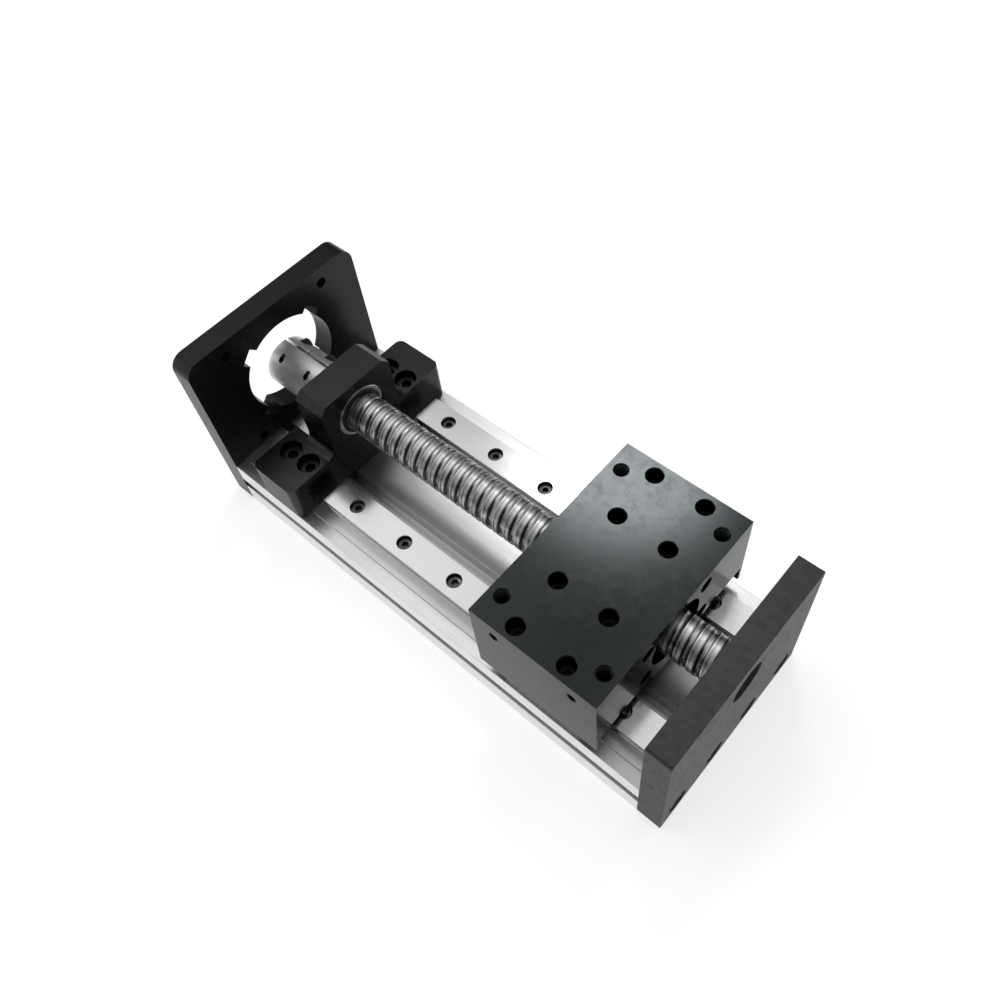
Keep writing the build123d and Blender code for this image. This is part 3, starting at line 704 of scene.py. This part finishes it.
# %% Bores of the block
fixed_start, fixed_depth = -72.5 * MM, 14 * MM
rear_hole_radius, rear_hole_depth = 9.1 * MM, 5 * MM
wing_screw_xs, wing_screw_y, wing_seat = (-75.6 * MM, -65.6 * MM), 26 * MM, 32 * MM
wing_bore_depth, wing_shank_depth = 9 * MM, 12 * MM
rear_start = (tower_back - over, 0, axis_height)
block = cut(block, add_rod("seat", (fixed_start, 0, axis_height), fixed_depth, seat_radius, sides=96))
block = cut(block, add_rod("rear_hole", rear_start, rear_hole_depth, rear_hole_radius, sides=96))
wing_places = [(x, side * wing_screw_y) for x in wing_screw_xs for side in (-1, 1)]
bores = [add_rod("bore", (x, y, wing_seat), wing_bore_depth, m5_bore, "Z") for x, y in wing_places]
block = cut(block, *bores)
shanks = [add_rod("shank", (x, y, block_low.z - over), wing_shank_depth, m5_shank, "Z", sides=40)
          for x, y in wing_places]
block = cut(block, *shanks)
break_edges(block, width=0.3 * MM)
finish(block, "frame", ["bearing_block"], block_black)

# %% [markdown]
# ## The carriage
# A thick plate bridges the two rail blocks. Its sides come down as skirts that hide them, and a rib in the
# middle holds the ball nut. From above, the eight deep holes for the block screws show, with four threaded
# corner holes. There are two smaller holes in the near side and four round the screw in the end that faces
# the end plate.

# %% Carriage plate
plate_low, plate_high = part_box("carriage_plate")
carriage_x = (plate_low.x + plate_high.x) / 2
guide_top, rib_low, rib_half, skirt_inner = 36 * MM, 31.5 * MM, 11.2 * MM, 38.8 * MM
nut_bore = 12.55 * MM
carriage = add_block("carriage_plate_milled", plate_low, plate_high)
x_low, x_high = plate_low.x - over, plate_high.x + over
pockets = mirrored((x_low, rib_half, plate_low.z - over), (x_high, skirt_inner, guide_top))
pockets.append(((x_low, -rib_half - over, plate_low.z - 2 * over), (x_high, rib_half + over, rib_low)))
for pocket in pockets:
    carriage = cut(carriage, *blocks([pocket]))
carriage = cut(carriage, add_rod("bore", (x_low, 0, axis_height), x_high - x_low, nut_bore, sides=128))
print(len(pockets), "pockets in the carriage plate")

# %% [markdown]
# Every hole is one tool: a rod for its bore, with a short cone that opens at the surface and leaves the
# small chamfer of its rim.

# %% Holes in the carriage's top
guide_reach, guide_bore, guide_bore_depth, guide_shank_depth = 10 * MM, 3 * MM, 9 * MM, 21 * MM
corner_x, corner_y, corner_bore, corner_depth = 20 * MM, 30 * MM, 2.5 * MM, 12 * MM
set_x, set_bore, set_depth = 12 * MM, 2.1 * MM, 12 * MM
rim = 0.3 * MM


def hole_tool(x, y, z, depth, radius):
    bore = add_rod("bore", (x, y, z - depth), depth + over, radius, "Z")
    cone = add_rod("rim", (x, y, z - rim), 2 * rim, radius, "Z", end_radius=radius + 2 * rim)
    return weld(bore, cone)


guide_places = [(carriage_x + guide_reach * a, guide_reach * b - side * rail_middle)
                for side in (-1, 1) for a, b in CORNERS]
screw_seat = plate_high.z - guide_bore_depth
for x, y in guide_places:
    carriage = cut(carriage, hole_tool(x, y, plate_high.z, guide_bore_depth, guide_bore))
    shank = add_rod("shank", (x, y, guide_top - over), guide_shank_depth, shank_radius, "Z", sides=40)
    carriage = cut(carriage, shank)
for a in (-1, 1):
    for b in (-1, 1):
        place = (carriage_x + corner_x * a, corner_y * b, plate_high.z)
        carriage = cut(carriage, hole_tool(*place, corner_depth, corner_bore))
    place = (carriage_x + set_x * a, 0, rib_low - over)
    carriage = cut(carriage, add_rod("set", place, set_depth, set_bore, "Z", sides=40))
print(len(guide_places) + len(CORNERS), "holes in the top")

# %% [markdown]
# The holes in the carriage's near side and in its end are the same kind of tool, modelled once at the origin
# and turned to go in from that side.

# %% Holes in the carriage's side and end
side_x, side_z, side_bore, side_depth = 15.5 * MM, 58 * MM, 1.65 * MM, 6.5 * MM
face_y, face_z, face_bore, face_depth = 15 * MM, 9 * MM, 2.75 * MM, 8 * MM


def drill(piece, places, turn, depth, radius):
    """Cut the same hole at several places, turned so that it goes in from another side."""
    tool = hole_tool(0, 0, 0, depth, radius)
    piece = cut(piece, *[copy_to(tool, "drill", place, turn) for place in places])
    bpy.data.objects.remove(tool)
    return piece


side_places = [(carriage_x + side_x * a, plate_low.y, side_z) for a in (-1, 1)]
face_places = [(plate_high.x, face_y * a, axis_height + face_z * b) for a, b in CORNERS]
carriage = drill(carriage, side_places, (math.pi / 2, 0, 0), side_depth, side_bore)
carriage = drill(carriage, face_places, (0, math.pi / 2, 0), face_depth, face_bore)
break_edges(carriage, width=0.35 * MM)
print(len(side_places) + len(face_places), "holes in side and end")

# %% [markdown]
# The four corner holes are tapped. Their thread is a sleeve with a saw-toothed inside that touches the wall
# of the hole. Its metal has a very dark colour: painted shade for the inside of the holes.

# %% Threads of the corner holes
tap_radius, tap_crest, tap_root = 2.52 * MM, 2.1 * MM, 2.47 * MM
tap_pitch, tap_top, tap_teeth = 0.8 * MM, -0.6 * MM, 13
teeth = [(tap_radius, 0, tap_top)]
for i in range(tap_teeth):
    teeth.append((tap_crest, 0, tap_top - (i + 0.5) * tap_pitch))
    teeth.append((tap_root, 0, tap_top - (i + 1) * tap_pitch))
teeth += [(tap_radius, 0, teeth[-1][2]), teeth[0]]
sleeve = smooth(face_outward(sweep(chain("sleeve", teeth), "Z", steps=40)), angle=40, flat=False)
tapped = [copy_to(sleeve, "tapped", (carriage_x + corner_x * a, corner_y * b, plate_high.z))
          for a, b in CORNERS]
bpy.data.objects.remove(sleeve)
finish(join(tapped, "carriage_threads"), "carriage", ["carriage_plate"], tapped_metal_painted_dark)
finish(carriage, "carriage", ["carriage_plate"], carriage_black)

# %% [markdown]
# ## The rail blocks
# Each rail block is a steel body between two plastic end caps, with a thin rubber seal at each end. All
# three share one section: a chamfered rectangle with a channel that follows the rail and its races. One
# helper cuts that section, a little smaller each time, so the caps and seals sit back from the steel.

# %% Rail blocks, caps and seals
guide_half, guide_floor, guide_chamfer, gap = 13.5 * MM, 26 * MM, 0.8 * MM, 0.3 * MM
steel_half, cap_length, seal_length = 16.2 * MM, 5.5 * MM, 1 * MM
cap_inset, seal_inset = 0.4 * MM, 0.8 * MM


def guide_piece(name, side, inset, x_start, length):
    middle = -side * rail_middle
    low = (x_start, middle - guide_half + inset, guide_floor)
    high = (x_start + length, middle + guide_half - inset, guide_top - inset)
    body = add_block(name, low, high)
    round_edges(body, guide_chamfer, lambda a, b: abs(a.x - b.x) > length / 2, segments=2)
    half = rail_high.y - rail_middle + gap
    channel = add_block("channel", (x_start - over, middle - half, guide_floor - over),
                        (x_start + length + over, middle + half, rail_high.z + gap))
    balls = race_rods(middle, x_start - 2 * over, length + 4 * over, race_radius - gap, sides=32)
    return break_edges(cut(body, cut(channel, *balls)), width=0.12 * MM, segments=1)


for side, where in ((-1, "near"), (1, "far")):
    body = guide_piece("guide_steel_" + where, side, 0, carriage_x - steel_half, 2 * steel_half)
    finish(body, "carriage", ["rail_block_" + where], block_steel)
    for end, at in ((-1, "a"), (1, "b")):
        cap_x = carriage_x + (steel_half if end > 0 else -steel_half - cap_length)
        cap = guide_piece(f"guide_cap_{where}_{at}", side, cap_inset, cap_x, cap_length)
        finish(cap, "carriage", ["end_caps_" + where], cap_plastic)
        seal_x = cap_x + (cap_length if end > 0 else -seal_length)
        seal = guide_piece(f"guide_seal_{where}_{at}", side, seal_inset, seal_x, seal_length)
        finish(seal, "carriage", ["end_seals_" + where], seal_rubber)

# %% [markdown]
# ## The ball screw
# The thread of a ball screw is a round groove rolled into the bar, with a flat land between its turns. One
# pitch of that outline is enough: it is a chain of edges whose heights follow the groove, and the Screw
# modifier sweeps it round the axis while it moves on by one lead a turn. The stations of the outline are
# millimetres from the middle of the groove, and they lie closest together at its edge.

# %% Thread
screw_low, screw_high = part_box("ball_screw")
thread_end, turns, screw_radius = 99.7 * MM, 34, 8 * MM
groove_radius, groove_lift = 1.9 * MM, 1.5 * MM
stations = [0, 0.35, 0.7, 0.95, 1.08, 1.166, 1.3, 1.6, 2.5]
stations = [-s * MM for s in reversed(stations[1:])] + [s * MM for s in stations]
outline = []
for across in stations:
    inside = max(groove_radius ** 2 - across ** 2, 0)
    depth = max(math.sqrt(inside) - groove_lift, 0)
    outline.append((across + thread_start - lead, 0, screw_radius - depth))
thread = sweep(chain("ball_screw_rolled", outline), "X", steps=56, lead=lead, turns=turns)
print(len(outline), "points in the outline of one pitch")

# %% [markdown]
# The sweep is longer than the thread, so that a flat cut can give it each of its ends. Then it moves up to
# the screw's axis.

# %% Thread ends
def flat_end(piece, x, keep):
    """Cut the piece off at x and close it. Keep is 1 for what lies beyond x and -1 for what lies before."""
    start_alone(piece)
    bpy.ops.object.mode_set(mode="EDIT")
    bpy.ops.mesh.select_all(action="SELECT")
    bpy.ops.mesh.bisect(plane_co=(x, 0, 0), plane_no=(1, 0, 0), use_fill=True, clear_inner=keep > 0,
                        clear_outer=keep < 0)
    return leave_edit(piece)


face_outward(flat_end(flat_end(thread, thread_start, 1), thread_end, -1))
thread.data.transform(Matrix.Translation((0, 0, axis_height)))
print(len(thread.data.polygons), "faces in the thread")

# %% [markdown]
# The ends of the bar are turned down. A collar leads to the journal that runs back through the bearings and
# the coupling, and a shorter journal sits in the idler bearing. Each has a chamfered end so that it enters
# its bore.

# %% Journals
bearing_end, idler_start = -60.5 * MM, 101 * MM
journal_radius, collar_radius, collar_chamfer = 5 * MM, 6.3 * MM, 0.2 * MM


def shaft(name, start, end, radius, chamfer=0.5 * MM):
    """A turned length of shaft with both of its ends chamfered."""
    rod = add_rod(name, (start, 0, axis_height), end - start, radius, sides=96)
    return break_edges(rod, chamfer, segments=1, flat=False)


ends = [shaft("journal", screw_low.x, bearing_end + over, journal_radius),
        shaft("collar", bearing_end, thread_start + over, collar_radius, collar_chamfer),
        shaft("idler_collar", thread_end - over, idler_start, collar_radius, collar_chamfer),
        shaft("idler_journal", idler_start - over, screw_high.x, journal_radius)]
smooth(thread, angle=40, flat=False)
ball_screw = join([thread, *ends], "ball_screw_rolled")
finish(ball_screw, "spindle", ["ball_screw"], screw_steel)

# %% [markdown]
# ## The coupling
# A clamp coupling is a round bar with a bore for each shaft. One slit runs along it and another half-way
# across it, so each end can close on its own shaft, and a screw across each end pulls it tight. It is
# modelled on its own axis with the long slit upright. Rings of edges go in first, so that the round wall is
# made of small faces, and each cut disturbs the smooth shading only close to itself.

# %% Coupling body
coupling_low, coupling_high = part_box("coupling")
coupling_radius, motor_bore, journal_bore = 10 * MM, 3.175 * MM, 5.05 * MM
slit, ring_count = 1.2 * MM, 25
middle_x = (coupling_low.x + coupling_high.x) / 2
length = coupling_high.x - coupling_low.x
reach = 2 * coupling_radius
body = add_rod("coupling_turned", (coupling_low.x, 0, 0), length, coupling_radius, sides=128)
for i in range(1, ring_count):
    start_alone(body)
    bpy.ops.object.mode_set(mode="EDIT")
    bpy.ops.mesh.select_all(action="SELECT")
    bpy.ops.mesh.bisect(plane_co=(coupling_low.x + length * i / ring_count, 0, 0), plane_no=(1, 0, 0))
    leave_edit(body)
body = cut(body, add_rod("motor_bore", (coupling_low.x - over, 0, 0), length / 2 + over, motor_bore))
body = cut(body, add_rod("journal_bore", (middle_x - slit / 2, 0, 0), length / 2 + 2 * over, journal_bore))
body = cut(body, add_block("slit", (coupling_low.x - over, -slit / 2, 0),
                           (coupling_high.x + over, slit / 2, reach)))
body = cut(body, add_block("slit", (middle_x - slit / 2, 0, -reach), (middle_x + slit / 2, reach, reach)))
print(len(body.data.polygons), "faces in the coupling")

# %% [markdown]
# Each clamp screw has a wide seat, a clearance hole that runs on past the slit, and a threaded hole that
# comes out on the other side. The threaded holes are drilled after the edges are broken, which keeps them
# sharp. At the end the coupling is turned about its axis and moved to its place.

# %% Holes for the clamp screws
clamp_reach, clamp_height, clamp_seat, lean = 7 * MM, 6.9 * MM, 3.5 * MM, math.radians(-13)
clamp_bore, clamp_shank, clamp_thread = 3 * MM, 1.6 * MM, 1.1 * MM
clearance_end, thread_depth = -6 * MM, 16 * MM
clamp_xs = [middle_x + side * clamp_reach for side in (-1, 1)]
for x in clamp_xs:
    body = cut(body, add_rod("seat", (x, clamp_seat, clamp_height), reach, clamp_bore, "Y"))
    body = cut(body, add_rod("hole", (x, clearance_end, clamp_height), reach, clamp_shank, "Y", sides=40))
break_edges(body, width=0.25 * MM, flat=False)
for x in clamp_xs:
    hole = add_rod("thread_hole", (x, -reach, clamp_height), thread_depth, clamp_thread, "Y", sides=40)
    body = cut(body, hole)
smooth(body, flat=False)
coupling = copy_to(body, "coupling_split", (0, 0, axis_height), (lean, 0, 0))
bpy.data.objects.remove(body)
finish(coupling, "spindle", ["coupling"], coupling_aluminium)

# %% [markdown]
# ## Bearings
# Each bearing shows a steel outer ring, a black rubber seal set back a little, and the inner ring that turns
# with the screw. A ring is a short rod with a rod taken out of it. Its broken edges make the thin bright
# circles that the eye reads as a bearing.

# %% Bearing rings and seals
bearing_width, seal_back, seal_edge = 6 * MM, 0.35 * MM, 0.15 * MM
outer_ring, seal_ring, inner_ring = (9.3 * MM, 11 * MM), (7 * MM, 9.4 * MM), (5.02 * MM, 6.7 * MM)
fixed_nodes = ("fixed_bearing_outer_rings", "fixed_bearing_inner_rings")
idler_nodes = ("idler_bearing_outer_ring", "idler_bearing_inner_ring")
bearings = ((fixed_start, fixed_nodes), (fixed_start + bearing_width, fixed_nodes),
            (idler_start, idler_nodes))


def ring(name, start, length, inner, outer, edge=0.25 * MM):
    tool = add_rod("tool", (start - over, 0, axis_height), length + 2 * over, inner, sides=96)
    piece = cut(add_rod(name, (start, 0, axis_height), length, outer, sides=96), tool)
    return break_edges(piece, edge, flat=False)


for i, (start, (outer_node, inner_node)) in enumerate(bearings):
    race = ring(f"bearing_outer_{i}", start, bearing_width, *outer_ring)
    finish(race, "frame", [outer_node], bearing_steel)
    rubber = ring(f"bearing_seal_{i}", start + seal_back, bearing_width - 2 * seal_back, *seal_ring,
                  edge=seal_edge)
    finish(rubber, "frame", [outer_node], seal_rubber)
    inner = ring(f"bearing_inner_{i}", start, bearing_width, *inner_ring)
    finish(inner, "spindle", [inner_node], bearing_steel)

# %% [markdown]
# ## Socket screws
# All the visible screws are one kind in two sizes. The head is a short rod. Every second face of its side is
# inset and pushed in a little, which gives the knurl, and a six-sided rod cuts the hexagon socket. The model
# stands at the origin with its head's underside on z = 0, and copies go to every hole.

# %% One screw
M3 = {"head_radius": 2.75 * MM, "head_height": 3 * MM, "shank_radius": 1.5 * MM, "across_flats": 2.5 * MM,
      "knurls": 24}
M5 = {"head_radius": 4.25 * MM, "head_height": 5 * MM, "shank_radius": 2.5 * MM, "across_flats": 4 * MM,
      "knurls": 36}
head_bevel, knurl_inset, knurl_depth, socket_bottom = 0.3 * MM, 0.03 * MM, 0.05 * MM, 0.45


def socket_screw(shank_length, head_radius, head_height, shank_radius, across_flats, knurls):
    head = add_rod("screw", (0, 0, 0), head_height, head_radius, "Z", sides=2 * knurls)
    round_edges(head, head_bevel, lambda a, b: min(a.z, b.z) > head_height - 0.01 * MM, segments=3)
    socket = add_rod("socket", (0, 0, head_height * socket_bottom), head_height,
                     across_flats / math.sqrt(3), "Z", sides=6)
    head = cut(head, socket)
    choose(head, faces=lambda face: abs(face.normal.z) < 0.1 and face.center.xy.length > head_radius * 0.95
           and round(math.atan2(face.center.y, face.center.x) / math.pi * knurls - 0.5) % 2 == 0)
    bpy.ops.mesh.inset(thickness=knurl_inset, depth=-knurl_depth, use_individual=True)
    leave_edit(head)
    shank = add_rod("shank", (0, 0, -shank_length), shank_length + 0.5 * MM, shank_radius, "Z", sides=32)
    shank = break_edges(shank, width=0.3 * MM, segments=1)
    return smooth(join([head, shank], "screw"), angle=35, flat=False)


def place_screws(model, name, places, turn, body, node, film=black_oxide):
    """Copy the model to each place, turned the same way. The model itself is deleted at the end."""
    for i, place in enumerate(places):
        finish(copy_to(model, f"{name}_{i + 1:02d}", place, turn), body, [node], film)
    bpy.data.objects.remove(model)


# %% [markdown]
# The upright screws of rails, carriage and block are copied straight into their bores. Those in the rails
# have a brighter film. Those deep in the carriage get a near-black colour: painted shade for their deep
# bores.

# %% Upright screws
upright = (0, 0, 0)
rail_places = [(x, side * rail_middle, rail_high.z - bore_depth) for side in (-1, 1) for x in rail_holes]
rail_screw = socket_screw(shank_length=10.5 * MM, **M3)
place_screws(rail_screw, "rail_screw", rail_places, upright, "frame", "rail_screws", film=rail_oxide)
carriage_screw = socket_screw(shank_length=23.4 * MM, **M3)
carriage_places = [(x, y, screw_seat) for x, y in guide_places]
place_screws(carriage_screw, "carriage_screw", carriage_places, upright, "carriage", "carriage_screws",
             film=painted_shade_black)
wing_screw = socket_screw(shank_length=19 * MM, **M5)
block_places = [(x, y, wing_seat) for x, y in wing_places]
place_screws(wing_screw, "block_screw", block_places, upright, "frame", "block_screws")

# %% [markdown]
# The plate screws lie along X, with their heads outward at both ends. The clamp screws lean as the coupling
# does, so their seats are turned by the same angle about its axis.

# %% Plate screws and clamp screws
for end, node in ((-1, "motor_plate_screws"), (1, "end_plate_screws")):
    face = motor_low.x + plate_screw_sink if end < 0 else end_high.x - plate_screw_sink
    plate_screw = socket_screw(shank_length=16 * MM, **M5)
    place_screws(plate_screw, node[:-1], [(face, y, plate_screw_z) for y in plate_screw_ys],
                 (0, end * math.pi / 2, 0), "frame", node)
clamp_screw = socket_screw(shank_length=9.8 * MM, **M3)
lean_y = math.cos(lean) * clamp_seat - math.sin(lean) * clamp_height
lean_z = math.sin(lean) * clamp_seat + math.cos(lean) * clamp_height
place_screws(clamp_screw, "coupling_screw", [(x, lean_y, axis_height + lean_z) for x in clamp_xs],
             (lean - math.pi / 2, 0, 0), "spindle", "coupling_screws")

# %% [markdown]
# ## Pieces that keep their CAD shape
# The nut, its wipers and set screws, the lock nut and the grease nipples are nearly hidden, and their CAD
# solids are already the right shape. They stay and only get their finish.

# %% Finish of the remaining nodes
kept_nodes = {"ball_nut": block_steel, "lock_nut": block_steel, "grease_nipples": black_oxide,
              "nut_wipers": cap_plastic, "nut_set_screws": black_oxide}
for node, finish_material in kept_nodes.items():
    coat(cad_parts[node], finish_material)
    print(node, "keeps its CAD shape")

# %% [markdown]
# ## Floor and light
# The photograph was taken on plain white. A wide pale floor glows a little, so that it stays white under
# the object, and its glow fades far away from it.

# %% Floor
floor_width, glow = 8, 0.66
glow_middle, glow_radius, glow_fade = (-0.15, 0.15, 0), 0.95, 1.0
start_alone()
bpy.ops.mesh.primitive_plane_add(size=floor_width)
floor = settle("floor")
paint = Paint("floor_white", Roughness=0.9, Specular_IOR_Level=0.2, Emission_Strength=glow)
tone = paint.noise(3, detail=2)
paint.feed(Base_Color=paint.mix(tone, (0.78, 0.78, 0.78), (0.80, 0.80, 0.80)))
place = paint.place(centre=glow_middle)
reach = paint.node("ShaderNodeVectorMath", {"operation": "LENGTH"}, (place,), output="Value")
paint.feed(Emission_Color=paint.mix(reach.above(glow_radius, glow_fade), (1, 1, 1), (0.2, 0.2, 0.2)))
coat(floor, paint.material)


# %% [markdown]
# The sky is a grey tent, a little lighter towards its top, with three white panels: a broad soft one
# overhead on the side of the motor plate, a smaller and sharper one above the far side, and a low wall on
# the near side beyond the motor plate, which only the coupling mirrors. They give the steel its bands and
# the black plates their faint sheen.

# %% Sky
class Sky(Paint):
    """The same way of adding nodes, for the world's background."""

    def __init__(self, name):
        self.material = bpy.data.worlds.new(name)
        self.material.use_nodes = True
        self.tree = self.material.node_tree
        self.shader = self.tree.nodes["Background"]

    def panel(self, direction, side, edge, width):
        """A round panel on this side of the sky. The edge is the cosine of its angular radius."""
        dot = {"operation": "DOT_PRODUCT"}
        cosine = self.node("ShaderNodeVectorMath", dot, (direction, side), output="Value")
        return cosine.above(edge, width)


sky = Sky("light_tent")
bpy.context.scene.world = sky.material
tent_grey, panel_white, top_share, panel_share = (0.195, 0.208, 0.210), (1.10, 1.10, 1.10), 0.13, 0.85
direction = sky.node("ShaderNodeTexCoord", output="Generated")
softbox = sky.panel(direction, (-0.56, 0.03, 0.83), edge=0.94, width=0.08)
ceiling = sky.panel(direction, (0.08, 0.33, 0.94), edge=0.958, width=0.014)
x, y, height = (sky.node("ShaderNodeSeparateXYZ", {}, (direction,), output=i) for i in range(3))
wall = (x * -1).above(0.58, 0.08) * (y * -1).above(0.35, 0.2)
share = height.above(0.6, 0.4) * top_share + softbox * panel_share + ceiling * panel_share + wall
sky.feed(Color=sky.mix(share, tent_grey, panel_white))
print(len(sky.tree.nodes), "nodes in the sky")

# %% [markdown]
# A small lamp above the far side leaves the soft highlight on the carriage. Its place follows from the
# mirror direction of the carriage's brightest spot.

# %% Lamp
lamp_place, lamp_target = Vector((-0.345, 0.574, 1.056)), Vector((0.05, 0.03, 0.06))
lamp_width, lamp_depth, lamp_watts = 0.30, 0.18, 1.45
lamp = bpy.data.objects.new("softbox", bpy.data.lights.new("softbox", "AREA"))
bpy.context.scene.collection.objects.link(lamp)
lamp.location = lamp_place
lamp.rotation_euler = (lamp_target - lamp_place).to_track_quat("-Z", "Y").to_euler()
lamp.data.shape = "ELLIPSE"
lamp.data.size = lamp_width
lamp.data.size_y = lamp_depth
lamp.data.energy = lamp_watts
bpy.context.scene.view_settings.view_transform = "Standard"
print("lamp", round((lamp_target - lamp_place).length, 3), "m from the carriage")

# %% [markdown]
# ## Camera
# The camera was fitted to the photograph: its place and its three axes make up its matrix. The lens and the
# small shift come from the same fit.

# %% Camera
camera = bpy.data.objects.new("camera", bpy.data.cameras.new("camera"))
bpy.context.scene.collection.objects.link(camera)
camera_place = Vector((0.143689, -0.114643, 0.324055))
right, up, back = (0.75354, 0.65367, -0.0699), (-0.51809, 0.65594, 0.54892), (0.40466, -0.37742, 0.83295)
axes = Matrix((right, up, back)).transposed().to_4x4()
camera.matrix_world = Matrix.Translation(camera_place) @ axes
camera.data.lens = 33.917
camera.data.sensor_width = 36
camera.data.shift_x = -0.02068
camera.data.shift_y = -0.00851
camera.data.clip_start = 0.01
bpy.context.scene.camera = camera
print("camera", round(camera_place.length, 3), "m from the origin")
